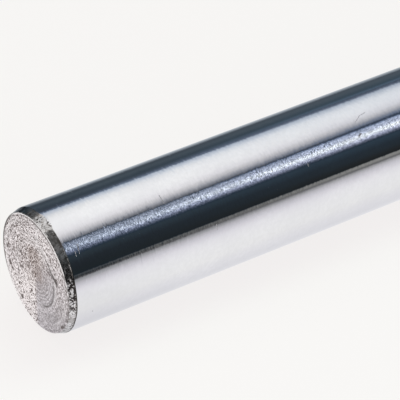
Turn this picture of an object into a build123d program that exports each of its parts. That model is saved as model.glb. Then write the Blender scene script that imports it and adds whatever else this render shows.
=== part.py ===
# Bright ground steel round bar, cut to a stock length.
#
# One solid of revolution. The barrel is ground to size over its whole length. Each end is faced square to the
# axis and has a long lead-in chamfer, turned at a shallow angle to the axis so that a collar or a bushing
# slides on without catching. Both edges of each chamfer are broken by small radii: a soft one where it runs
# into the ground barrel, and a tighter one at the rim of the faced end.
#
# Frame: +X along the bar's own axis, +Z up. The origin is on that axis, at the middle of the bar's length.
# The bar lies on its barrel, so the floor under it is half a diameter below the origin.
# All lengths are in millimetres, and angles in degrees.
import os
from math import radians, tan

from build123d import *

# Stock size
BAR_DIAMETER = 20.0
BAR_LENGTH = 333.0

# End treatment, the same at both ends
CHAMFER_LENGTH = 1.4  # along the axis
CHAMFER_ANGLE = 24.0  # between the chamfer and the axis
BARREL_EDGE_RADIUS = 0.3  # where the chamfer meets the ground barrel
RIM_EDGE_RADIUS = 0.12  # where the chamfer meets the faced end


def bar_outline():
    """The bar's outline above its axis, in section: up one face, along the barrel and down the other face."""
    bar_radius = BAR_DIAMETER / 2
    face_radius = bar_radius - CHAMFER_LENGTH * tan(radians(CHAMFER_ANGLE))
    face_x = BAR_LENGTH / 2
    barrel_x = face_x - CHAMFER_LENGTH
    corners = [
        (-face_x, 0),
        (-face_x, face_radius),
        (-barrel_x, bar_radius),
        (barrel_x, bar_radius),
        (face_x, face_radius),
        (face_x, 0),
    ]
    edge_radii = [RIM_EDGE_RADIUS, BARREL_EDGE_RADIUS, BARREL_EDGE_RADIUS, RIM_EDGE_RADIUS]
    return FilletPolyline(*corners, radius=edge_radii)


def round_bar():
    """The bar, turned about X from its outline, which the axis itself closes."""
    outline = bar_outline()
    axis_line = Line(outline @ 1, outline @ 0)
    section = make_face(outline + axis_line)
    return revolve(section, axis=Axis.X)


os.makedirs("parts", exist_ok=True)
export_step(round_bar(), "parts/round_bar.step")
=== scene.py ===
import math

import bpy
import numpy as np
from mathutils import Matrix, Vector, noise


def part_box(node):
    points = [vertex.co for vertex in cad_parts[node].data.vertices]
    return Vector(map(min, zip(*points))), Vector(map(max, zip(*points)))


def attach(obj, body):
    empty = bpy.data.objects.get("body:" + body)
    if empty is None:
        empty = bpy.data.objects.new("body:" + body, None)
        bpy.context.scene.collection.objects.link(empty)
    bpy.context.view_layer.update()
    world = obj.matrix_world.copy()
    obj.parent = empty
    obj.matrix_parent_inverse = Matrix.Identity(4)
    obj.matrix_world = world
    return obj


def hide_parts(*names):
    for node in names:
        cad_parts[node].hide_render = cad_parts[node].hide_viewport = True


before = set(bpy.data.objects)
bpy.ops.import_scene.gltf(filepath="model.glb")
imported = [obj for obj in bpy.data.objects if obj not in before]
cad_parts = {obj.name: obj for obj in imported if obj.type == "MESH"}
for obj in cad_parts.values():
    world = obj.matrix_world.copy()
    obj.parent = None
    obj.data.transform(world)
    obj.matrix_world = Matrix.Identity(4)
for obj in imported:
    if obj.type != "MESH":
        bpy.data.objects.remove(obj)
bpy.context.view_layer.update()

# ---------------------------------------------------------------------------------------------------------
# The bar. One solid length of bright steel, its barrel ground to size all along.
# Each end is faced in a lathe and given a long lead-in chamfer, and the rim of the face is left with a
# small rounded lip. Nothing is fixed to it.
# ---------------------------------------------------------------------------------------------------------

# Sizes are in millimetres. The near end is the one at -X, and angles go round from +Y by way of +Z.
bar_low, bar_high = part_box("round_bar")
HALF_LENGTH = (bar_high.x - bar_low.x) / 2 * 1000
BAR_RADIUS = round((bar_high.y - bar_low.y) / 2 * 1000, 3)
FACE_RADIUS = 9.377
LIP_RADIUS = 0.12
LIP_TURN = math.radians(66)
LIP_INNER_RADIUS = FACE_RADIUS - LIP_RADIUS * math.tan(LIP_TURN / 2)
LIP_OUTER_RADIUS = LIP_INNER_RADIUS + LIP_RADIUS * math.sin(LIP_TURN)
LIP_BACK = LIP_RADIUS * (1 - math.cos(LIP_TURN))
CHAMFER_REACH = 1.33
TURNING_FEED = 0.57


def smooth(low, high, value):
    """0 at low, 1 at high, and an even slope in between."""
    t = min(1.0, max(0.0, (value - low) / (high - low)))
    return t * t * (3 - 2 * t)


def span(turned, start, full, fade, stop):
    """1 between the two middle angles, and 0 before the first and past the last, in degrees."""
    return smooth(start, full, turned) * smooth(stop, fade, turned)


def facing(angle, middle, low, high):
    """How far an angle is on the middle one's side: 0 where their cosine is low, 1 where it is high."""
    return smooth(low, high, math.cos(angle - math.radians(middle)))


def arc(radius, middle, width):
    """1 on a ring of that radius, fading to 0 at its width to either side."""
    return smooth(width, 0.3 * width, abs(radius - middle))


def arcs(rows, turned, radius):
    """The strongest of several arcs, each by its strength, radius, width and the angles that it spans."""
    return max(strength * arc(radius, middle, width) * span(turned, *angles)
               for strength, middle, width, *angles in rows)


def wedge(angle, sharp_side, far_side):
    """A wedge of the face by its angle in degrees: it starts sharply at one side and fades to the other."""
    turned = (math.degrees(angle) - sharp_side) % 360
    turned = turned - 360 if turned > 350 else turned
    return smooth(-1.2, 1.2, turned) * smooth(far_side, 0.45 * far_side, turned)


def patch(y, z, y_middle, z_middle, reach):
    """1 at the middle of a round patch of the face, fading to 0 at its reach."""
    return 1 - smooth(0.35 * reach, reach, math.hypot(y - y_middle, z - z_middle))


def lumps(point, size, seed):
    """The height of rough metal at a point, about -1 to 1, with lumps of that size."""
    x, y, z = point
    return noise.noise(Vector((x / size + seed, y / size - seed, z / size + 2.3 * seed)))


# The face, from its highest ring down: rings left by the tool's feed, two shallow steps where it stopped,
# pits where it tore the steel, and a dimple in the middle.


def calm_cut(end, y, z):
    """Where the tool cut the face cleanly, from 0 to 1."""
    if end > 0:
        return smooth(-4.0, 2.0, y) * smooth(-3.0, 3.0, z)
    outer = smooth(5.3, 6.2, math.hypot(y, z)) * smooth(-5.5, -1.0, z)
    return smooth(0.35, -0.15, y) * smooth(5.0, -1.5, z) * (1 - 0.55 * outer)


def face_sink(end, radius, y, z):
    """How far a point of the faced end lies behind its highest ring."""
    point = (end * 20, y, z)
    wander = 0.3 * lumps(point, 4.0, 3.0)
    ring = 0.5 - 0.5 * math.cos(2 * math.pi * (radius / TURNING_FEED + wander))
    sink = 0.010 * ring * (0.4 + 0.6 * smooth(-0.3, 0.4, lumps(point, 5.0, 8.0)))
    sink *= 1 - 0.8 * smooth(5.2, 5.8, radius)
    inner_step = 0.022 * smooth(5.42, 5.22, radius)
    outer_step = 0.016 * smooth(8.34, 8.16, radius)
    pits = 0.020 * smooth(0.05, 0.55, lumps(point, 0.5, 1.0)) * (1 - 0.8 * calm_cut(end, y, z))
    dimple = 0.05 * smooth(0.7, 0.2, radius)
    return (sink + inner_step + outer_step + pits + dimple) * smooth(9.26, 9.0, radius)


def rim_shift(end, angle):
    """How far outward the near face's rim lies. Its chamfer was cut a little off the barrel's axis."""
    return 0.18 + 0.19 * math.cos(angle + math.radians(40)) if end < 0 else 0.0


def with_rim(end, angle, radius):
    """A radius of the face, moved outward with the rim the nearer it is to it."""
    return radius + rim_shift(end, angle) * smooth(6.0, 9.3, radius)


# The marks of the faces. Each spot is where it lies across and up, and its size. Each arc is its strength,
# radius and width, and the angles where it starts, is whole, fades and ends.
NEAR_SPOTS = (
    (7.5, -2.6, 0.55), (8.2, 0.1, 0.5), (4.4, 1.3, 0.45), (4.3, -1.4, 0.45),
    (5.2, -2.6, 0.4), (5.1, -4.9, 0.4), (4.4, -6.9, 0.55), (1.5, -4.1, 0.4),
    (-5.75, 1.9, 0.6), (7.0, -3.3, 0.4), (-7.35, -5.45, 0.5), (-6.9, -5.7, 0.4),
)
FAR_SPOTS = ((3.1, -6.0, 0.5), (-6.0, 3.4, 0.6))
DARK_ARCS = (
    (0.95, 9.06, 0.22, 72, 90, 118, 128),
    (0.34, 6.42, 0.22, 56, 66, 154, 160),
    (0.20, 8.00, 0.26, 2, 10, 70, 86),
)
# The bright arcs are painted highlights.
BRIGHT_ARCS = (
    (0.40, 5.84, 0.28, 76, 84, 140, 154),
    (0.20, 8.46, 0.26, 84, 96, 154, 166),
    (0.42, 5.60, 0.26, 162, 168, 190, 230),
    (0.25, 8.25, 0.30, 160, 172, 220, 240),
)
GROOVE_ANGLES = (-40, -10, 10, 40, 80, 112, 150, 164, 172)
GROOVE_RADII = (5.90, 5.75, 5.50, 5.35, 5.30, 5.16, 5.12, 6.08, 6.10)


def near_face_lines(angle, radius):
    """The near face's dark lines, painted shade in its grooves and at its rim, and its bright ones, painted
    highlights.
    """
    turned = math.degrees(angle)
    from_left = turned - 360 if turned > 250 else turned
    y, z = radius * math.cos(angle), radius * math.sin(angle)
    groove = float(np.interp(from_left, GROOVE_ANGLES, GROOVE_RADII))
    groove_depth = 0.58 * smooth(94, 108, turned) + 0.40 * smooth(118, 138, turned)
    groove_width = 0.22 + 0.2 * smooth(140, 156, turned)
    low_groove = 5.02 + 0.3 * smooth(0.0, 0.9, -math.sin(angle))
    top_side = facing(angle, 105, 0.3, 0.6)
    right_side = facing(angle, 160, -0.35, 0.1)
    low_right = facing(angle, 225, 0.1, 0.5)
    broken = smooth(-0.2, 0.3, lumps((0, y, z), 0.8, 4.0))
    dark = max(
        0.90 * smooth(8.98, 9.12, radius) * facing(angle, 11, 0.72, 0.90),
        0.80 * smooth(9.05, 9.20, radius) * facing(angle, 182, 0.75, 0.90) * broken,
        groove_depth * arc(radius, groove, groove_width) * smooth(172, 166, turned),
        0.28 * arc(radius, groove, 0.24) * span(from_left, -40, -20, 84, 94),
        0.72 * arc(radius, low_groove, 0.22) * span(turned, 164, 176, 245, 262),
        0.40 * arc(radius, 8.98, 0.18) * max(top_side, right_side),
        0.25 * arc(radius, 8.40, 0.22) * (0.4 * right_side + 0.6 * low_right),
        0.24 * smooth(6.3, 6.7, radius) * smooth(8.1, 7.8, radius) * span(turned, 176, 196, 240, 272),
        arcs(DARK_ARCS, turned, radius))
    bright = max(
        0.24 * arc(radius, groove - 0.46, 0.26) * span(from_left, -40, -20, 98, 112),
        0.32 * smooth(8.35, 8.70, radius) * facing(angle, -38, 0.85, 0.97),
        0.34 * arc(radius, 8.52, 0.34) * facing(angle, 8, 0.55, 0.80),
        0.55 * smooth(3.2, 1.0, abs(turned - 95.3)) * smooth(4.6, 5.4, radius),
        arcs(BRIGHT_ARCS, turned, radius))
    return dark, bright


def face_marks(end, angle, radius):
    """The marks on the face and its lip, each from 0 to 1."""
    y, z = radius * math.cos(angle), radius * math.sin(angle)
    calm = calm_cut(end, y, z)
    # The lip's bright stretch along its top is a painted highlight.
    lip_highlight = smooth(9.16, 9.24, radius) * facing(angle, 101, 0.2, 0.5)
    if end < 0:
        line, painted_highlight = near_face_lines(angle, radius)
        stain = max(patch(y, z, 0.5, 2.4, 3.0), 0.9 * patch(y, z, -0.3, 0.2, 2.6),
                    0.4 * patch(y, z, 1.0, 1.0, 6.0))
        # Its pale wedges and paler top are a painted sheen of the turned face.
        aside = math.atan2(z, y - 0.32)
        pale = max(wedge(aside, -87, 87), 0.6 * wedge(angle, 95, 45), 0.3 * facing(angle, 82, 0.5, 0.9))
    else:
        line = 0.4 * arc(radius, 6.4, 0.2)
        painted_highlight = max(0.4 * arc(radius, 8.0, 0.25), 0.3 * arc(radius, 4.1, 0.2))
        stain = max(0.7 * patch(y, z, -1.4, -0.6, 3.4), 0.5 * patch(y, z, 5.0, -3.0, 2.2))
        # The far face's pale wedges are a painted sheen too.
        pale = max(0.7 * wedge(angle, 60, 80), 0.4 * wedge(angle, 240, 60))
    return {"stain": stain, "pale": pale * smooth(0.5, 2.6, radius), "calm": calm, "line": line,
            "ringed": 0.04 + calm * (0.03 + 0.50 * smooth(5.8, 5.2, radius)), "painted_highlight": max(painted_highlight, lip_highlight)}


# Each part of the end's outline gives, for an angle round the bar and its own measure, how far behind the
# end's plane a point lies, how far from the axis, and its marks.


def on_face(end, angle, radius):
    """The faced end, by the radius. It alone has spots, dark marks where the tool tore the steel."""
    y, z = radius * math.cos(angle), radius * math.sin(angle)
    spots = max(patch(y, z, *spot) for spot in (NEAR_SPOTS if end < 0 else FAR_SPOTS))
    marks = {**face_marks(end, angle, radius), "torn": spots}
    return face_sink(end, radius, y, z), with_rim(end, angle, radius), marks


def on_lip(end, angle, turn):
    """The lip at the rim, by how far it has turned from the face to the chamfer."""
    radius = LIP_INNER_RADIUS + LIP_RADIUS * math.sin(turn)
    return LIP_RADIUS * (1 - math.cos(turn)), with_rim(end, angle, radius), face_marks(end, angle, radius)


def chamfer_reach(end, angle):
    """How far back the chamfer runs at that angle. The tool didn't run quite true to the barrel."""
    reach = CHAMFER_REACH - 0.20 * facing(angle, 205, 0.2, 0.95)
    if end < 0:
        reach += 0.20 * facing(angle, 98, 0.981, 0.994)
    return reach + 0.05 * noise.noise(Vector((math.cos(angle) * 4, math.sin(angle) * 4, end * 5)))


def chamfer_marks(end, angle, share):
    """The chamfer's torn stretches, its pale stretch, a painted highlight, and a dark line along its outer
    edge.
    """
    line = smooth(0.80, 0.90, share)
    if end > 0:
        return {"torn": facing(angle, 40, 0.82, 0.93), "line": 0.3 * line}
    turned = math.degrees(angle)
    low_tear = span(turned, 154, 160, 188, 197) * (1 - 0.5 * smooth(173, 182, turned))
    slight_tears = max(0.28 * facing(angle, 218, 0.90, 0.97), 0.30 * facing(angle, 98, 0.95, 0.985))
    score = 0.85 * smooth(2.6, 1.0, abs(turned - 222)) * smooth(0.5, 0.25, share)
    return {"torn": max(low_tear, slight_tears), "pale": 0.27 * facing(angle, 103, 0.965, 0.98),
            "line": max(line, score) * facing(angle, 196, 0.6, 0.8)}


def on_chamfer(end, angle, share):
    """The chamfer, by the share of the way from the lip to the barrel. It is lumpy but for its edges."""
    back = LIP_BACK + (chamfer_reach(end, angle) - LIP_BACK) * share
    inner = LIP_OUTER_RADIUS + rim_shift(end, angle)
    radius = inner + (BAR_RADIUS - inner) * share
    point = (end * 30 + back, radius * math.cos(angle), radius * math.sin(angle))
    rough = smooth(0.0, 0.12, share) * smooth(1.0, 0.86, share)
    radius -= rough * (0.014 * smooth(-0.5, 0.6, lumps(point, 0.62, 5.0))
                       + 0.006 * smooth(-0.4, 0.6, lumps(point, 0.33, 7.0)))
    return back, radius, chamfer_marks(end, angle, share)


def on_edge(end, angle, past):
    """The start of the barrel, by how far past the chamfer's uneven edge. It bears none of these marks."""
    return chamfer_reach(end, angle) + past, BAR_RADIUS, {}


def on_barrel(end, angle, x):
    """The barrel, by how far along the bar from its middle."""
    return HALF_LENGTH - end * x, BAR_RADIUS, {}


AROUND = 384
FACE_RING_GAP = 0.113
face_rings = int(LIP_INNER_RADIUS / FACE_RING_GAP)
end_outline = [(on_face, k * FACE_RING_GAP) for k in range(1, face_rings + 1)]
end_outline.append((on_face, LIP_INNER_RADIUS - 0.02))
end_outline += [(on_lip, LIP_TURN * k / 6) for k in range(7)]
end_outline += [(on_chamfer, share) for share in np.linspace(0.04, 1.0, 14)]
end_outline += [(on_edge, past) for past in (0.03, 0.06, 0.09)]

# The marks painted on the mesh, each from 0 to 1: the brown stain, the painted sheen of the pale wedges and
# stretches, where the cut is clean, how far the feed's rings show, where the steel is torn, the dark lines,
# partly painted shade, and the bright ones, painted highlights.
painted = {name: [] for name in ("stain", "pale", "calm", "ringed", "torn", "line", "painted_highlight")}
points = []
rings = []


def add_point(end, angle, back, radius, marks):
    """One point of the bar, and its marks, where it has any."""
    points.append((end * (HALF_LENGTH - back) / 1000, radius * math.cos(angle) / 1000,
                   radius * math.sin(angle) / 1000))
    for name, values in painted.items():
        values.append(marks.get(name, 0.0))


def add_ring(end, place_on, measure):
    """One ring of points round the bar's axis, on that part of its outline."""
    rings.append((place_on, len(points)))
    for k in range(AROUND):
        angle = 2 * math.pi * k / AROUND
        add_point(end, angle, *place_on(end, angle, measure))


for place_on, measure in end_outline:
    add_ring(-1, place_on, measure)
for x in (-164.8, -160.0, -140.0, -100.0, -50.0, 0.0, 50.0, 100.0, 140.0, 160.0, 164.8):
    add_ring(1, on_barrel, x)
for place_on, measure in reversed(end_outline):
    add_ring(1, place_on, measure)
for end in (-1, 1):
    add_point(end, 0.0, face_sink(end, 0.01, 0, 0), 0.0, {"stain": 0.6, "calm": 0.5, "ringed": 0.3})

# The three finishes, in the order in which their materials are added below.
GROUND, TURNED, FACED = 0, 1, 2
faces = []
finish_of = []
for (part_a, a), (part_b, b) in zip(rings, rings[1:]):
    parts = {part_a, part_b}
    finish = GROUND if parts & {on_barrel, on_edge} else TURNED if on_chamfer in parts else FACED
    for k in range(AROUND):
        n = (k + 1) % AROUND
        faces.append((a + k, b + k, b + n, a + n))
        finish_of.append(finish)
for middle, ring, way_round in ((len(points) - 2, rings[0][1], 1), (len(points) - 1, rings[-1][1], -1)):
    for k in range(AROUND):
        pair = (ring + k, ring + (k + 1) % AROUND)
        faces.append((middle, *pair[::way_round]))
        finish_of.append(FACED)

bar_mesh = bpy.data.meshes.new("ground_bar")
bar_mesh.from_pydata(points, [], faces)
bar_mesh.polygons.foreach_set("material_index", finish_of)
bar_mesh.polygons.foreach_set("use_smooth", [True] * len(faces))
for name, values in painted.items():
    bar_mesh.attributes.new(name, "FLOAT", "POINT").data.foreach_set("value", values)
bar_mesh.update()

# The surface laid out flat, along the bar one way and round it the other, for the run of the grinding. A
# face that crosses the start of the round goes on past it.
flat = bar_mesh.uv_layers.new(name="along_and_round")
point_of_corner = np.zeros(len(bar_mesh.loops), np.int32)
bar_mesh.loops.foreach_get("vertex_index", point_of_corner)
place = np.array(points)[point_of_corner]
share_along = place[:, 0] * 1000 / (2 * HALF_LENGTH) + 0.5
share_round = np.arctan2(place[:, 2], place[:, 1]) / (2 * math.pi) % 1.0
first_corner = np.zeros(len(faces), np.int32)
corner_count = np.zeros(len(faces), np.int32)
bar_mesh.polygons.foreach_get("loop_start", first_corner)
bar_mesh.polygons.foreach_get("loop_total", corner_count)
highest = np.repeat(np.maximum.reduceat(share_round, first_corner), corner_count)
share_round = np.where(highest - share_round > 0.5, share_round + 1.0, share_round)
flat.data.foreach_set("uv", np.stack([share_along, share_round], 1).astype(np.float32).ravel())

ground_bar = bpy.data.objects.new("ground_bar", bar_mesh)
bpy.context.scene.collection.objects.link(ground_bar)


def add_node(tree, kind, **settings):
    """A shader node with its settings, and with plain numbers for its inputs by name."""
    made = tree.nodes.new(kind)
    for socket, number in settings.pop("inputs", {}).items():
        made.inputs[socket].default_value = number
    for name, value in settings.items():
        setattr(made, name, value)
    return made


def feed(tree, socket, value):
    """Joins an output to an input, or sets the input to a plain number."""
    if isinstance(value, bpy.types.NodeSocket):
        tree.links.new(value, socket)
    else:
        socket.default_value = value


def work_out(tree, operation, *values):
    """A sum on two or three values, each one an output or a number."""
    made = add_node(tree, "ShaderNodeMath", operation=operation)
    for socket, value in zip(made.inputs, values):
        feed(tree, socket, value)
    return made.outputs[0]


def step_up(tree, value, low, high, to_low=0.0, to_high=1.0):
    """A value eased from low to high, and held outside them."""
    made = add_node(tree, "ShaderNodeMapRange", interpolation_type="SMOOTHSTEP",
                    inputs={1: low, 2: high, 3: to_low, 4: to_high})
    tree.links.new(value, made.inputs[0])
    return made.outputs[0]


def blend(tree, share, below, above):
    """One colour over another by a share from 0 to 1."""
    made = add_node(tree, "ShaderNodeMix", data_type="RGBA")
    feed(tree, made.inputs[0], share)
    feed(tree, made.inputs[6], below)
    feed(tree, made.inputs[7], above)
    return made.outputs[2]


def vector_step(tree, operation, *values):
    """A node that works on vectors, each value one of its inputs in turn."""
    made = add_node(tree, "ShaderNodeVectorMath", operation=operation)
    for socket, value in zip(made.inputs, values):
        feed(tree, socket, value)
    return made.outputs


def painted_mark(tree, name):
    """One of the marks painted on the mesh, from 0 to 1."""
    return add_node(tree, "ShaderNodeAttribute", attribute_name=name).outputs["Fac"]


def new_group(name, inputs, outputs):
    """An empty node group with those number inputs, and its start, end and position in millimetres."""
    made = bpy.data.node_groups.new(name, "ShaderNodeTree")
    for socket, usual in inputs.items():
        added = made.interface.new_socket(socket, in_out="INPUT", socket_type="NodeSocketFloat")
        added.default_value = usual
    for socket in outputs:
        made.interface.new_socket(socket, in_out="OUTPUT", socket_type="NodeSocketFloat")
    in_metres = add_node(made, "ShaderNodeTexCoord").outputs["Object"]
    in_mm = vector_step(made, "MULTIPLY", in_metres, (1000.0, 1000.0, 1000.0))["Vector"]
    given = add_node(made, "NodeGroupInput").outputs
    result = add_node(made, "NodeGroupOutput").inputs
    return made, given, result, in_mm


# Cut marks: the fine rings that a turning tool leaves round the axis, and the torn grain between them. The
# grain is drawn by the distance from the axis and by the place, so it is finer outward than round the axis.
cut_marks, given, result, mm = new_group("cut_marks", {"Pitch": TURNING_FEED, "Wander": 0.5},
                                         ["Rings", "Grain", "Fleck", "Blotch"])
across_axis = vector_step(cut_marks, "MULTIPLY", mm, (0.0, 1.0, 1.0))["Vector"]
from_axis = vector_step(cut_marks, "LENGTH", across_axis)["Value"]
drift = add_node(cut_marks, "ShaderNodeTexNoise", inputs={"Scale": 0.3, "Detail": 2.0})
cut_marks.links.new(mm, drift.inputs["Vector"])
phase = work_out(cut_marks, "ADD", work_out(cut_marks, "DIVIDE", from_axis, given["Pitch"]),
                 work_out(cut_marks, "MULTIPLY", drift.outputs["Fac"], given["Wander"]))
wave = work_out(cut_marks, "SINE", work_out(cut_marks, "MULTIPLY", phase, 2 * math.pi))
cut_marks.links.new(work_out(cut_marks, "MULTIPLY_ADD", wave, 0.5, 0.5), result["Rings"])
place_mm = add_node(cut_marks, "ShaderNodeSeparateXYZ")
cut_marks.links.new(mm, place_mm.inputs[0])
for name, outward, round_axis, detail in (("Grain", 2.6, 1.5, 2.0), ("Fleck", 4.8, 2.8, 1.0),
                                          ("Blotch", 0.9, 0.7, 1.0)):
    drawn = add_node(cut_marks, "ShaderNodeCombineXYZ")
    for socket, value, scale in (("X", from_axis, outward), ("Y", place_mm.outputs["Y"], round_axis),
                                 ("Z", place_mm.outputs["Z"], round_axis)):
        cut_marks.links.new(work_out(cut_marks, "MULTIPLY", value, scale), drawn.inputs[socket])
    grain = add_node(cut_marks, "ShaderNodeTexNoise",
                     inputs={"Scale": 1.0, "Detail": detail, "Roughness": 0.6})
    cut_marks.links.new(drawn.outputs[0], grain.inputs["Vector"])
    cut_marks.links.new(grain.outputs["Fac"], result[name])

# Pits: small dark worm-eaten holes in the surface, where the cut tore it.
pits, given, result, mm = new_group("pits", {"Size": 0.4, "Share": 0.5}, ["Pits"])
eaten = add_node(pits, "ShaderNodeTexNoise", inputs={"Detail": 1.0, "Roughness": 0.45})
pits.links.new(mm, eaten.inputs["Vector"])
pits.links.new(work_out(pits, "DIVIDE", 1.0, given["Size"]), eaten.inputs["Scale"])
off_middle = work_out(pits, "ABSOLUTE", work_out(pits, "SUBTRACT", eaten.outputs["Fac"], 0.5))
hole_width = work_out(pits, "MULTIPLY", given["Share"], 0.13)
depth = work_out(pits, "DIVIDE", work_out(pits, "SUBTRACT", hole_width, off_middle), 0.03)
pits.links.new(step_up(pits, depth, 0.0, 1.0), result["Pits"])

# A nick: one short straight scratch, by where its middle is, the way it runs, half its length, its width.
nick, given, result, mm = new_group("nick", {"Half length": 0.5, "Width": 0.06}, ["Nick"])
nick.interface.new_socket("Middle", in_out="INPUT", socket_type="NodeSocketVector")
nick.interface.new_socket("Run", in_out="INPUT", socket_type="NodeSocketVector")
from_middle = vector_step(nick, "SUBTRACT", mm, given["Middle"])["Vector"]
along_it = vector_step(nick, "DOT_PRODUCT", from_middle, given["Run"])["Value"]
held = work_out(nick, "MINIMUM", along_it, given["Half length"])
held = work_out(nick, "MAXIMUM", held, work_out(nick, "MULTIPLY", given["Half length"], -1.0))
nearest = add_node(nick, "ShaderNodeVectorMath", operation="SCALE")
nick.links.new(given["Run"], nearest.inputs["Vector"])
nick.links.new(held, nearest.inputs["Scale"])
gap = vector_step(nick, "DISTANCE", from_middle, nearest.outputs["Vector"])["Value"]
widths_away = work_out(nick, "DIVIDE", gap, given["Width"])
nick.links.new(step_up(nick, widths_away, 0.4, 1.0, 1.0, 0.0), result["Nick"])


def new_finish(name):
    """An empty material, with the metal's shader joined to its output."""
    made = bpy.data.materials.new(name)
    made.use_nodes = True
    tree = made.node_tree
    tree.nodes.clear()
    out = tree.nodes.new("ShaderNodeOutputMaterial")
    steel = add_node(tree, "ShaderNodeBsdfPrincipled", inputs={"Metallic": 1.0})
    tree.links.new(steel.outputs["BSDF"], out.inputs["Surface"])
    bar_mesh.materials.append(made)
    return tree, steel


def add_group(tree, group, **inputs):
    """A node group placed in a material, with its own values."""
    made = add_node(tree, "ShaderNodeGroup", node_tree=group)
    for socket, value in inputs.items():
        feed(tree, made.inputs[socket.replace("_", " ")], value)
    return made.outputs


def add_nicks(tree, nicks):
    """All the nicks of one surface together."""
    mask = 0.0
    for middle, run, half_length, width in nicks:
        made = add_group(tree, nick, Middle=middle, Run=Vector(run).normalized(), Half_length=half_length,
                         Width=width)
        mask = work_out(tree, "MAXIMUM", made["Nick"], mask)
    return mask


def add_bump(tree, steel, height, distance, under=None):
    """Joins a height to the shader's normal, as a bump that is so many metres deep."""
    bump = add_node(tree, "ShaderNodeBump", inputs={"Strength": 1.0, "Distance": distance})
    tree.links.new(height, bump.inputs["Height"])
    if under is not None:
        tree.links.new(under, bump.inputs["Normal"])
    tree.links.new(bump.outputs["Normal"], steel.inputs["Normal"])


# The ground barrel: bright, with fine grinding marks that run round it and spread the lamp's light along it.
tree, steel = new_finish("ground_barrel")
steel.inputs["Roughness"].default_value = 0.025
steel.inputs["Anisotropic"].default_value = 1.0
tangent = add_node(tree, "ShaderNodeTangent", direction_type="UV_MAP", uv_map="along_and_round")
tree.links.new(tangent.outputs["Tangent"], steel.inputs["Tangent"])
in_metres = add_node(tree, "ShaderNodeTexCoord").outputs["Object"]


def marks_to_a_mm(along, across):
    """The place on the barrel, counted in marks: so many to a millimetre along the bar and across it."""
    return vector_step(tree, "MULTIPLY", in_metres, (along * 1000, across * 1000, across * 1000))["Vector"]


def grinding(along, across, detail):
    """Noise with that many marks to a millimetre along the bar and across it, so drawn out round the bar."""
    made = add_node(tree, "ShaderNodeTexNoise", inputs={"Scale": 1.0, "Detail": detail, "Roughness": 0.6})
    tree.links.new(marks_to_a_mm(along, across), made.inputs["Vector"])
    return made.outputs["Fac"]


# The wheel's grains leave facets that lean along the bar and hardly round it, some short and some drawn out.
# 0.5 is no lean. Near the ends scratches lean round the bar too, most of all high up on it.
GRAIN_LEAN = 0.014
lean_along = 0.5
for marks_across, share in ((4.0, 0.6), (1.5, 0.8)):
    facet = add_node(tree, "ShaderNodeTexVoronoi", inputs={"Scale": 1.0})
    tree.links.new(marks_to_a_mm(10.0, marks_across), facet.inputs["Vector"])
    its_own = add_node(tree, "ShaderNodeSeparateColor")
    tree.links.new(facet.outputs["Color"], its_own.inputs["Color"])
    its_lean = work_out(tree, "SUBTRACT", its_own.outputs["Red"], 0.5)
    lean_along = work_out(tree, "MULTIPLY_ADD", its_lean, share * GRAIN_LEAN, lean_along)
scratches = step_up(tree, grinding(6.0, 0.45, 1.0), 0.58, 0.68)
either_way = work_out(tree, "SUBTRACT", grinding(3.0, 0.3, 0.0), 0.5)
scratch_lean = work_out(tree, "MULTIPLY", scratches, either_way)
place_m = add_node(tree, "ShaderNodeSeparateXYZ")
tree.links.new(in_metres, place_m.inputs[0])
near_an_end = step_up(tree, work_out(tree, "ABSOLUTE", place_m.outputs["X"]), 0.120, 0.160, 0.03, 0.088)
high_up = step_up(tree, place_m.outputs["Z"], 0.0045, 0.0075, 0.50, 1.0)
scratch_share = work_out(tree, "MULTIPLY", near_an_end, high_up)
lean_round = work_out(tree, "MULTIPLY_ADD", scratch_lean, scratch_share, 0.5)
leaning = add_node(tree, "ShaderNodeCombineColor", inputs={"Blue": 1.0})
tree.links.new(lean_along, leaning.inputs["Red"])
tree.links.new(lean_round, leaning.inputs["Green"])
facets = add_node(tree, "ShaderNodeNormalMap", uv_map="along_and_round")
tree.links.new(leaning.outputs[0], facets.inputs["Color"])


def barrel_nick(back, degrees_up, along, around, half_length, width):
    """A nick in the barrel: how far behind the near end, how far up from the front, and its run."""
    angle = math.radians(degrees_up)
    middle = (back - HALF_LENGTH, -BAR_RADIUS * math.cos(angle), BAR_RADIUS * math.sin(angle))
    return middle, (along, around * math.sin(angle), around * math.cos(angle)), half_length, width


nicks = add_nicks(tree, [
    barrel_nick(19.3, 61.0, 0.0, 1.0, 0.70, 0.070),
    barrel_nick(3.4, 46.3, 0.18, 1.0, 0.78, 0.050),
    barrel_nick(2.7, 43.0, 0.1, 1.0, 0.35, 0.060),
    barrel_nick(56.4, 66.5, 1.5, 0.9, 0.85, 0.032),
    barrel_nick(57.8, 69.5, 1.0, 0.15, 0.50, 0.032),
    barrel_nick(55.3, 51.3, 1.0, 0.5, 0.28, 0.150),
    barrel_nick(3.9, -15.8, 0.3, 1.0, 0.10, 0.120),
    barrel_nick(26.3, 20.6, 0.1, 1.0, 0.40, 0.060),
    barrel_nick(44.6, 42.8, 0.0, 1.0, 0.20, 0.060),
])
height = work_out(tree, "SUBTRACT", work_out(tree, "MULTIPLY", grinding(2.4, 0.8, 2.0), 0.28), nicks)
add_bump(tree, steel, height, 0.00002, facets.outputs["Normal"])
cloud = step_up(tree, grinding(0.12, 0.12, 3.0), 0.3, 0.7)
shade = blend(tree, cloud, (0.71, 0.71, 0.74, 1), (0.75, 0.75, 0.775, 1))
mottle = step_up(tree, grinding(1.5, 1.3, 2.0), 0.35, 0.65, 0.0, 0.35)
shade = blend(tree, mottle, shade, (0.675, 0.675, 0.70, 1))
shade = blend(tree, work_out(tree, "MULTIPLY", nicks, 0.28), shade, (0.30, 0.29, 0.29, 1))
tree.links.new(shade, steel.inputs["Base Color"])
tree.links.new(work_out(tree, "MULTIPLY_ADD", nicks, 0.4, 0.025), steel.inputs["Roughness"])
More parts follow.
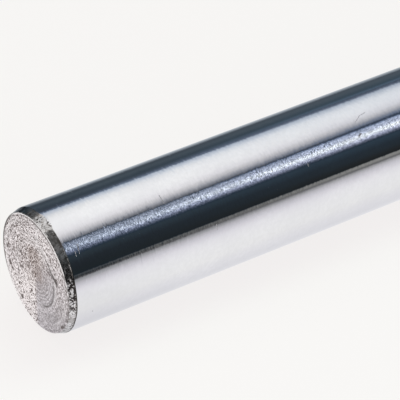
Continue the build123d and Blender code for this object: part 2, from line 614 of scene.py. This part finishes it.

# The chamfers: turned quickly, so lumpy and a little darker, with pits and a dark line along part of the
# outer edge. The near one's pale stretch is a painted highlight.
tree, steel = new_finish("turned_chamfer")
steel.inputs["Roughness"].default_value = 0.10
marks = add_group(tree, cut_marks, Pitch=0.11, Wander=1.2)
torn = painted_mark(tree, "torn")
holes = add_group(tree, pits, Size=0.62, Share=work_out(tree, "MULTIPLY_ADD", torn, 0.70, 0.04))["Pits"]
grain = step_up(tree, marks["Grain"], 0.40, 0.60)
shade = blend(tree, grain, (0.35, 0.338, 0.335, 1), (0.645, 0.632, 0.645, 1))
# The pale stretch is a painted highlight, where the chamfer mirrors the panel.
pale = work_out(tree, "MULTIPLY", painted_mark(tree, "pale"), 0.7)
shade = blend(tree, pale, shade, (0.86, 0.84, 0.85, 1))
shade = blend(tree, work_out(tree, "MULTIPLY", torn, 0.35), shade, (0.74, 0.72, 0.73, 1))
shade = blend(tree, step_up(tree, marks["Fleck"], 0.54, 0.64, 0.0, 0.75), shade, (0.20, 0.175, 0.165, 1))
shade = blend(tree, holes, shade, (0.035, 0.03, 0.03, 1))
shade = blend(tree, painted_mark(tree, "line"), shade, (0.05, 0.045, 0.04, 1))
tree.links.new(shade, steel.inputs["Base Color"])
add_bump(tree, steel, work_out(tree, "SUBTRACT", marks["Grain"], holes), 0.00001)

# The faced ends: a coarse turned cut with torn pits, dulled by handling and stained brown at the middle.
tree, steel = new_finish("faced_end")
marks = add_group(tree, cut_marks, Pitch=TURNING_FEED, Wander=1.2)
calm = painted_mark(tree, "calm")
wild = work_out(tree, "SUBTRACT", 1.0, calm)
stain = painted_mark(tree, "stain")
pale = painted_mark(tree, "pale")
grain = step_up(tree, marks["Grain"], 0.36, 0.57)
shade = blend(tree, grain, (0.39, 0.338, 0.338, 1), (0.96, 0.89, 0.90, 1))
blotches = work_out(tree, "MULTIPLY", step_up(tree, marks["Blotch"], 0.48, 0.62, 0.0, 0.28), wild)
shade = blend(tree, blotches, shade, (0.42, 0.37, 0.375, 1))
shade = blend(tree, work_out(tree, "MULTIPLY", calm, 0.57), shade, (0.44, 0.422, 0.46, 1))
# The pale wedges are a painted sheen.
shade = blend(tree, work_out(tree, "MULTIPLY", pale, 0.88), shade, (1.0, 0.93, 0.925, 1))
shade = blend(tree, work_out(tree, "MULTIPLY", stain, 0.64), shade, (0.32, 0.215, 0.17, 1))
feed_rings = work_out(tree, "MULTIPLY", step_up(tree, marks["Rings"], 0.3, 0.95),
                      painted_mark(tree, "ringed"))
shade = blend(tree, feed_rings, shade, (0.24, 0.22, 0.23, 1))
# More flecks turn dark in the stain, and fewer in the pale wedges of painted sheen.
fleck_level = work_out(tree, "MULTIPLY_ADD", stain, 0.025, marks["Fleck"])
fleck_level = work_out(tree, "MULTIPLY_ADD", pale, -0.014, fleck_level)
flecks = work_out(tree, "MULTIPLY", step_up(tree, fleck_level, 0.528, 0.579),
                  work_out(tree, "MULTIPLY_ADD", wild, 0.56, 0.44))
shade = blend(tree, flecks, shade, (0.11, 0.075, 0.065, 1))
sparks = work_out(tree, "MULTIPLY", step_up(tree, marks["Fleck"], 0.47, 0.39),
                  work_out(tree, "MULTIPLY_ADD", wild, 0.30, 0.22))
shade = blend(tree, sparks, shade, (0.97, 0.94, 0.94, 1))
# One short score on the near face, and the spots where the steel is torn.
score = add_nicks(tree, [((-HALF_LENGTH, -4.4, 2.1), (0, 1, 0.17), 1.4, 0.20)])
spots = work_out(tree, "MAXIMUM", work_out(tree, "MULTIPLY", score, 0.9), painted_mark(tree, "torn"))
shade = blend(tree, spots, shade, (0.13, 0.10, 0.095, 1))
# The lip's bright stretch and the bright lines are painted highlights; the dark lines are painted shade in
# the grooves and at the rim.
shade = blend(tree, painted_mark(tree, "painted_highlight"), shade, (0.95, 0.92, 0.92, 1))
shade = blend(tree, painted_mark(tree, "line"), shade, (0.10, 0.085, 0.08, 1))
tree.links.new(shade, steel.inputs["Base Color"])
tree.links.new(step_up(tree, marks["Grain"], 0.3, 0.7, 0.34, 0.5), steel.inputs["Roughness"])
height = work_out(tree, "ADD", work_out(tree, "SUBTRACT", marks["Grain"], flecks),
                  work_out(tree, "MULTIPLY", marks["Rings"], 0.25))
add_bump(tree, steel, height, 0.00004)

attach(ground_bar, "root")
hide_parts("round_bar")

# ---------------------------------------------------------------------------------------------------------
# The table. A wide pale sheet that the bar lies on, brightest near it.
# It keeps the bar's soft shadow, and the steel mirrors it as its two pale bands.
# ---------------------------------------------------------------------------------------------------------


def glowing_sheet(name, grid, lights):
    """A sheet of points in rows, with the light that it gives at each point in its own paint."""
    sheet_points = [p for row in grid for p in row]
    wide = len(grid[0])
    sheet_faces = [(r * wide + c, r * wide + c + 1, (r + 1) * wide + c + 1, (r + 1) * wide + c)
                   for r in range(len(grid) - 1) for c in range(wide - 1)]
    mesh = bpy.data.meshes.new(name)
    mesh.from_pydata(sheet_points, [], sheet_faces)
    light = mesh.attributes.new("light", "FLOAT_COLOR", "POINT")
    light.data.foreach_set("color", [v for row in lights for colour in row for v in (*colour, 1.0)])
    sheet = bpy.data.objects.new(name, mesh)
    bpy.context.scene.collection.objects.link(sheet)
    paint = bpy.data.materials.new(name)
    paint.use_nodes = True
    paint.node_tree.nodes.clear()
    mesh.materials.append(paint)
    return sheet, paint.node_tree


# How bright the table looks in the steel, from far in front of the bar to far behind it. Past the bar's near
# end it is lit otherwise. From here on, places are in metres.
# Close in front of the bar and under it the level dips: the bar's shadow, painted in.
table_in_steel = [
    (-8.0, (0.50, 0.50, 0.51)), (-1.0, (0.54, 0.535, 0.55)), (-0.4, (0.60, 0.59, 0.615)),
    (-0.197, (0.675, 0.66, 0.69)), (-0.100, (0.80, 0.79, 0.825)), (-0.068, (0.91, 0.89, 0.92)),
    (-0.052, (0.98, 0.97, 0.99)), (-0.042, (1.03, 1.02, 1.03)), (-0.030, (1.07, 1.065, 1.06)),
    (-0.020, (1.08, 1.08, 1.06)), (-0.015, (1.065, 1.062, 1.04)), (-0.0106, (0.98, 0.975, 0.985)),
    (-0.0078, (0.885, 0.883, 0.905)), (-0.005, (0.835, 0.835, 0.86)), (0.0, (0.79, 0.79, 0.82)),
    (0.006, (0.82, 0.81, 0.82)), (0.012, (0.85, 0.84, 0.835)), (0.020, (0.85, 0.86, 0.87)),
    (0.024, (0.838, 0.856, 0.875)), (0.0275, (0.82, 0.85, 0.88)), (0.035, (0.73, 0.765, 0.80)),
    (0.047, (0.55, 0.59, 0.63)), (0.071, (0.34, 0.38, 0.42)), (0.14, (0.155, 0.183, 0.212)),
    (0.4, (0.064, 0.080, 0.097)), (8.0, (0.052, 0.070, 0.088)),
]
past_the_end = [
    (-8.0, 0.50), (-1.0, 0.54), (-0.4, 0.60), (-0.197, 0.68), (-0.100, 0.76), (-0.068, 0.82), (-0.052, 0.88),
    (-0.042, 0.94), (-0.030, 1.02), (-0.017, 1.16), (-0.0115, 1.30), (-0.0092, 0.96), (-0.0062, 0.76),
    (-0.0045, 0.98), (0.0, 0.98), (0.005, 1.0), (0.012, 1.03), (0.019, 1.05), (0.024, 1.12), (0.030, 1.0),
    (0.040, 0.30), (0.060, 0.08), (0.10, 0.05), (8.0, 0.04),
]
# How many times as bright it is beside the bar's near end, and far along the bar.
beside_the_end = [(0.0, 0.965), (0.020, 0.95), (0.027, 0.47), (0.047, 0.66), (0.071, 0.48), (0.14, 0.26)]
further_along = [
    (-0.012, 1.0), (-0.004, 1.05), (0.004, 1.04), (0.012, 1.0), (0.020, 0.91), (0.031, 0.85), (0.056, 0.86),
    (0.071, 0.93), (0.14, 1.10), (0.4, 1.3),
]


def level_at(distance, levels):
    """The level at a distance, from a list of distances and levels, even between them."""
    return float(np.interp(distance, *zip(*levels)))


# The stretches along the bar part at seams, which slant away along it the further behind it they are.
table_grid = []
table_lights = []
for y, light in table_in_steel:
    slant = max(y, 0.02)
    columns = (-8.0, -0.170, -0.163, -0.156 + 0.15 * slant, -0.158 + 0.45 * slant, -0.10 + slant, 8.0)
    table_grid.append([(x, y, -BAR_RADIUS / 1000) for x in columns])
    past = (level_at(y, past_the_end),) * 3
    beside = tuple(v * level_at(y, beside_the_end) for v in light)
    further = tuple(v * level_at(y, further_along) for v in light)
    table_lights.append([past, past, beside, beside, light, further, further])
table, tree = glowing_sheet("table", table_grid, table_lights)

# The camera sees it evenly pale, a little dimmer behind the bar and with a painted shadow under it. The
# steel mirrors the light that is painted on it.
SHADOW_UNDER_BAR = (0.800, 0.776, 0.768, 1)
IN_FRONT = (0.833, 0.823, 0.806, 1)
BEHIND = (0.814, 0.802, 0.785, 1)
rays = add_node(tree, "ShaderNodeLightPath")
place_m = add_node(tree, "ShaderNodeSeparateXYZ")
tree.links.new(add_node(tree, "ShaderNodeTexCoord").outputs["Object"], place_m.inputs[0])
in_front = step_up(tree, place_m.outputs["Y"], -0.0055, -0.016)
behind = step_up(tree, place_m.outputs["Y"], 0.0, 0.02)
tone_beside_bar = blend(tree, behind, blend(tree, in_front, SHADOW_UNDER_BAR, IN_FRONT), BEHIND)
tone_past_ends = blend(tree, step_up(tree, place_m.outputs["Y"], -0.016, 0.02), IN_FRONT, BEHIND)
beside_bar = step_up(tree, work_out(tree, "ABSOLUTE", place_m.outputs["X"]), 0.19, 0.165)
plain = add_node(tree, "ShaderNodeEmission")
tree.links.new(blend(tree, beside_bar, tone_past_ends, tone_beside_bar), plain.inputs["Color"])
tree.links.new(work_out(tree, "MAXIMUM", rays.outputs["Is Camera Ray"], rays.outputs["Is Transmission Ray"]),
               plain.inputs["Strength"])
mirrored = add_node(tree, "ShaderNodeEmission")
tree.links.new(add_node(tree, "ShaderNodeAttribute", attribute_name="light").outputs["Color"],
               mirrored.inputs["Color"])
tree.links.new(rays.outputs["Is Glossy Ray"], mirrored.inputs["Strength"])
# A grey coat catches the studio's light, and with it the bar's shadow. The steel doesn't mirror the coat.
shadowed = add_node(tree, "ShaderNodeBsdfDiffuse", inputs={"Color": (0.15, 0.15, 0.152, 1)})
unmirrored = add_node(tree, "ShaderNodeMixShader")
nothing = add_node(tree, "ShaderNodeEmission", inputs={"Strength": 0.0})
tree.links.new(rays.outputs["Is Glossy Ray"], unmirrored.inputs[0])
tree.links.new(shadowed.outputs[0], unmirrored.inputs[1])
tree.links.new(nothing.outputs[0], unmirrored.inputs[2])
glows = add_node(tree, "ShaderNodeAddShader")
tree.links.new(plain.outputs[0], glows.inputs[0])
tree.links.new(mirrored.outputs[0], glows.inputs[1])
both = add_node(tree, "ShaderNodeAddShader")
tree.links.new(glows.outputs[0], both.inputs[0])
tree.links.new(unmirrored.outputs[0], both.inputs[1])
tree.links.new(both.outputs[0], add_node(tree, "ShaderNodeOutputMaterial").inputs["Surface"])
# The lights alone are sampled as lamps.
table.active_material.cycles.emission_sampling = "NONE"

# ---------------------------------------------------------------------------------------------------------
# The dark room round the table, which the bright steel mirrors as its dark bands.
# It is an arched screen over the bar, open at both ends. It gives no light of its own and casts no shadow,
# and the camera looks through it.
# ---------------------------------------------------------------------------------------------------------

ROOM_RADIUS = 1.6


def hide_from_camera(thing):
    """The camera doesn't see it, but the steel mirrors it."""
    thing.visible_camera = False
    thing.visible_transmission = False


def plain_glow(tree):
    """The sheet gives the light painted on it."""
    glow = add_node(tree, "ShaderNodeEmission", inputs={"Strength": 1.0})
    tree.links.new(add_node(tree, "ShaderNodeAttribute", attribute_name="light").outputs["Color"],
                   glow.inputs["Color"])
    tree.links.new(glow.outputs[0], add_node(tree, "ShaderNodeOutputMaterial").inputs["Surface"])


# The screen's colours by degrees up from the table in front: past the bar's near end, then a little way
# along the bar, then further along it. Each of the three has two of the places along the screen.
screen_places = (-1.2, -0.15, 0.0, 0.55, 0.85, 3.4)
screen_shades = [
    (-1, (0.52, 0.52, 0.53), (0.50, 0.50, 0.51), (0.50, 0.50, 0.51)),
    (0, (0.48, 0.48, 0.49), (0.50, 0.50, 0.51), (0.50, 0.50, 0.51)),
    (2, (0.06, 0.06, 0.062), (0.43, 0.435, 0.45), (0.41, 0.41, 0.41)),
    (4, (0.038, 0.038, 0.039), (0.375, 0.38, 0.39), (0.18, 0.18, 0.185)),
    (5.5, (0.035, 0.035, 0.036), (0.12, 0.12, 0.125), (0.19, 0.19, 0.185)),
    (8, (0.035, 0.035, 0.035), (0.022, 0.028, 0.032), (0.303, 0.303, 0.288)),
    (10.5, (0.030, 0.031, 0.032), (0.055, 0.065, 0.073), (0.305, 0.305, 0.29)),
    (11.6, (0.026, 0.027, 0.028), (0.068, 0.077, 0.085), (0.140, 0.144, 0.138)),
    (12.6, (0.022, 0.023, 0.024), (0.0165, 0.025, 0.032), (0.0165, 0.0215, 0.024)),
    (16, (0.030, 0.031, 0.032), (0.018, 0.025, 0.029), (0.0215, 0.0245, 0.026)),
    (24, (0.034, 0.036, 0.037), (0.019, 0.025, 0.030), (0.025, 0.0345, 0.043)),
    (32, (0.044, 0.047, 0.049), (0.022, 0.0285, 0.035), (0.0255, 0.0375, 0.050)),
    (42, (0.088, 0.097, 0.100), (0.033, 0.047, 0.058), (0.0345, 0.057, 0.080)),
    (60, (0.200, 0.216, 0.225), (0.035, 0.050, 0.065), (0.037, 0.060, 0.085)),
    (72, (0.130, 0.135, 0.140), (0.045, 0.065, 0.095), (0.040, 0.065, 0.110)),
    (98, (0.120, 0.120, 0.125), (0.050, 0.070, 0.095), (0.045, 0.070, 0.100)),
    (140, (0.120, 0.125, 0.130), (0.070, 0.088, 0.115), (0.100, 0.150, 0.210)),
    (148, (0.105, 0.112, 0.118), (0.074, 0.090, 0.119), (0.106, 0.158, 0.220)),
    (156, (0.130, 0.135, 0.135), (0.048, 0.065, 0.084), (0.057, 0.087, 0.113)),
    (168, (0.062, 0.066, 0.068), (0.0705, 0.094, 0.114), (0.082, 0.1085, 0.132)),
    (176, (0.030, 0.033, 0.035), (0.056, 0.075, 0.093), (0.083, 0.106, 0.129)),
    (181, (0.030, 0.032, 0.034), (0.056, 0.075, 0.093), (0.083, 0.106, 0.129)),
]
screen_grid = []
screen_lights = []
stops = [row[0] for row in screen_shades]
for degrees in sorted({*np.linspace(-1, 181, 183), *stops}):
    angle = math.radians(degrees)
    y, z = -ROOM_RADIUS * math.cos(angle), ROOM_RADIUS * math.sin(angle)
    screen_grid.append([(x, y, z) for x in screen_places])
    row = []
    for part in (1, 2, 3):
        shade = tuple(np.interp(degrees, stops, [shades[part][band] for shades in screen_shades])
                      for band in range(3))
        row += [shade, shade]
    screen_lights.append(row)
room, tree = glowing_sheet("dark_room", screen_grid, screen_lights)
plain_glow(tree)
room.active_material.cycles.emission_sampling = "NONE"
hide_from_camera(room)
room.visible_diffuse = False
room.visible_shadow = False

# ---------------------------------------------------------------------------------------------------------
# The lights: a wide soft panel overhead, and a small lamp in front of it, further along the bar.
# Both are cloth over a box, so they fade towards their edges.
# ---------------------------------------------------------------------------------------------------------

PANEL_HEIGHT = 0.8
# The panel hangs askew over the bar. Each edge has a point that it passes through and the way in from it,
# counted in panel heights from over the bar's middle, and its levels by the distance in.
NEAR_EDGE = ((0.25, -0.21), (-0.52, 0.93))
FAR_EDGE = ((0.52, 1.28), (-0.64, -0.88))
BACK_EDGE = ((-0.22, 1.0), (0.366, -0.93))
LEFT_EDGE = ((-0.535, 0.18), (0.93, 0.366))
panel_near = [
    (-0.30, 0.015), (-0.2, 0.05), (-0.17, 0.07), (-0.148, 0.105), (-0.128, 0.172), (-0.10, 0.22),
    (-0.075, 0.28), (-0.037, 0.38), (-0.01, 0.48), (0.028, 0.56), (0.056, 0.65), (0.093, 0.71),
    (0.121, 0.78), (0.158, 0.85), (0.223, 0.90), (0.29, 0.95), (0.43, 0.98), (0.60, 1.0),
]
panel_far = [
    (-0.46, 0.12), (-0.37, 0.172), (-0.28, 0.182), (-0.20, 0.192), (-0.16, 0.22), (-0.08, 0.51),
    (-0.05, 0.585), (0.0, 0.65), (0.08, 0.73), (0.2, 0.79), (0.35, 0.93), (0.5, 1.0), (0.7, 1.04),
]
panel_left = [
    (-0.30, 0.16), (-0.19, 0.15), (-0.05, 0.12), (0.0, 0.20), (0.03, 0.38), (0.06, 0.92), (0.08, 1.0),
]


def way_in(x, y, edge):
    """How far in from an edge of the panel a point of it lies."""
    (edge_x, edge_y), (in_x, in_y) = edge
    return (x - edge_x) * in_x + (y - edge_y) * in_y


def panel_light(x, y):
    """The panel's light at a point of it. It is a little dimmer further along the bar."""
    near = way_in(x, y, NEAR_EDGE)
    far = way_in(x, y, FAR_EDGE)
    back = way_in(x, y, BACK_EDGE)
    left = way_in(x, y, LEFT_EDGE)
    level = level_at(near, panel_near) * min(level_at(far, panel_far), level_at(back, panel_far))
    level *= level_at(left, panel_left) * max(0.55, min(1.15, 1.125 - 0.53 * (x - 0.32)))
    # The cloth is bluer towards its edges, most of all further along the bar, and warmer near the near one.
    along = smooth(0.3, 0.65, x)
    blue = max(smooth(0.55, -0.1, far), 0.8 * smooth(0.1, -0.15, near))
    near_edge = smooth(0.0, -0.2, near) * along
    far_edge = smooth(0.0, -0.25, far)
    far_corner = far_edge * along
    warm = smooth(0.45, 0.1, near) * (1 - near_edge)
    level *= 1 + 0.08 * far_corner
    red = 1 - 0.09 * blue - 0.07 * far_edge - 0.055 * along - 0.03 * warm - 0.11 * near_edge
    green = 1.003 - 0.02 * blue - 0.045 * warm + 0.23 * near_edge - 0.012 * along + 0.03 * far_corner
    blue_light = (0.985 + 0.10 * blue + 0.12 * far_edge + 0.04 * along - 0.02 * warm + 0.95 * near_edge
                  + 0.12 * far_corner)
    return level * red, level * green, level * blue_light


panel_x = np.linspace(-0.8, 1.8, 131)
panel_y = np.linspace(-0.55, 1.6, 108)
panel, tree = glowing_sheet(
    "soft_panel", [[(x * PANEL_HEIGHT, y * PANEL_HEIGHT, PANEL_HEIGHT) for x in panel_x] for y in panel_y],
    [[panel_light(x, y) for x in panel_x] for y in panel_y])
plain_glow(tree)
hide_from_camera(panel)

# The lamp's levels by degrees up from the front. It has narrow tubes across it, one behind the other along
# the bar, and it is brightest at its middle. Its upper rows lean, and are bluer at the middle.
LAMP_AWAY = 0.75
LAMP_MIDDLE = 0.377
LAMP_SPREAD = 0.169
TUBE_GAP = 0.035
LEAN = 1.15
LEANS_ABOVE = 60
LEANS_ABOUT = 0.26
lamp_up = [
    (45, 0.0), (46, 0.01), (48, 0.064), (50, 0.19), (52, 0.37), (54, 0.56), (56, 0.79), (58, 0.96),
    (60, 0.98), (62, 0.83), (64, 0.61), (66, 0.50), (68, 0.49), (70, 0.33), (71.5, 0.14), (72.5, 0.065),
]
lamp_along = np.linspace(0.0, 0.9, 309)
lamp_grid = []
lamp_lights = []


def lamp_light(x, degrees, level):
    """The lamp's light at a point along it, in a row that many degrees up, over its dim blue cloth."""
    share = math.exp(-0.5 * ((x - LAMP_MIDDLE) / LAMP_SPREAD) ** 2)
    tube = 0.20 + 2.4 * smooth(0.15, 0.75, math.cos(2 * math.pi * x / TUBE_GAP))
    upper = smooth(0.6, 0.95, share) * (smooth(61, 67, degrees) + 2.6 * smooth(68.5, 71.5, degrees))
    red = 0.84 + 0.17 * share
    green = (1.015 + 0.05 * share) * (1 + 0.05 * upper)
    blue = (1.34 - 0.11 * share) * (1 + 0.13 * smooth(58, 50, degrees) + 0.13 * upper)
    blue *= 1 - 0.12 * share ** 2 * smooth(0.6, 0.98, level)
    glow = level * share * tube
    return red * glow + 0.024, green * glow + 0.040, blue * glow + 0.060


for degrees, level in lamp_up:
    angles = np.radians(degrees + max(0, degrees - LEANS_ABOVE) * LEAN * (lamp_along - LEANS_ABOUT))
    lamp_grid.append(list(zip(lamp_along, -LAMP_AWAY * np.cos(angles), LAMP_AWAY * np.sin(angles))))
    lamp_lights.append([lamp_light(x, degrees, level) for x in lamp_along])
lamp, tree = glowing_sheet("small_lamp", lamp_grid, lamp_lights)
plain_glow(tree)
hide_from_camera(lamp)

# The pale room beyond, which shows past the table and the open ends of the screen.
world = bpy.data.worlds.new("pale_room")
bpy.context.scene.world = world
world.use_nodes = True
world.node_tree.nodes.clear()
tree = world.node_tree
sky = add_node(tree, "ShaderNodeBackground", inputs={"Color": (0.93, 0.92, 0.905, 1), "Strength": 1.0})
tree.links.new(sky.outputs[0], add_node(tree, "ShaderNodeOutputWorld").inputs["Surface"])

# ---------------------------------------------------------------------------------------------------------
# The camera, close to the near end. It looks down along the bar at its front, a little to the right of the
# end, so that the face shows as a narrow oval and the barrel runs out of view.
# ---------------------------------------------------------------------------------------------------------

camera_data = bpy.data.cameras.new("camera")
camera_data.sensor_width = 36.0
camera_data.lens = 235.61
camera_data.clip_start = 0.01
camera_data.clip_end = 50.0
camera = bpy.data.objects.new("camera", camera_data)
bpy.context.scene.collection.objects.link(camera)
camera.location = (-0.321611, -0.275342, 0.231504)
camera.rotation_euler = (math.radians(55.2877), 0.0, math.radians(-33.8405))
bpy.context.scene.camera = camera
bpy.context.scene.view_settings.view_transform = "Standard"
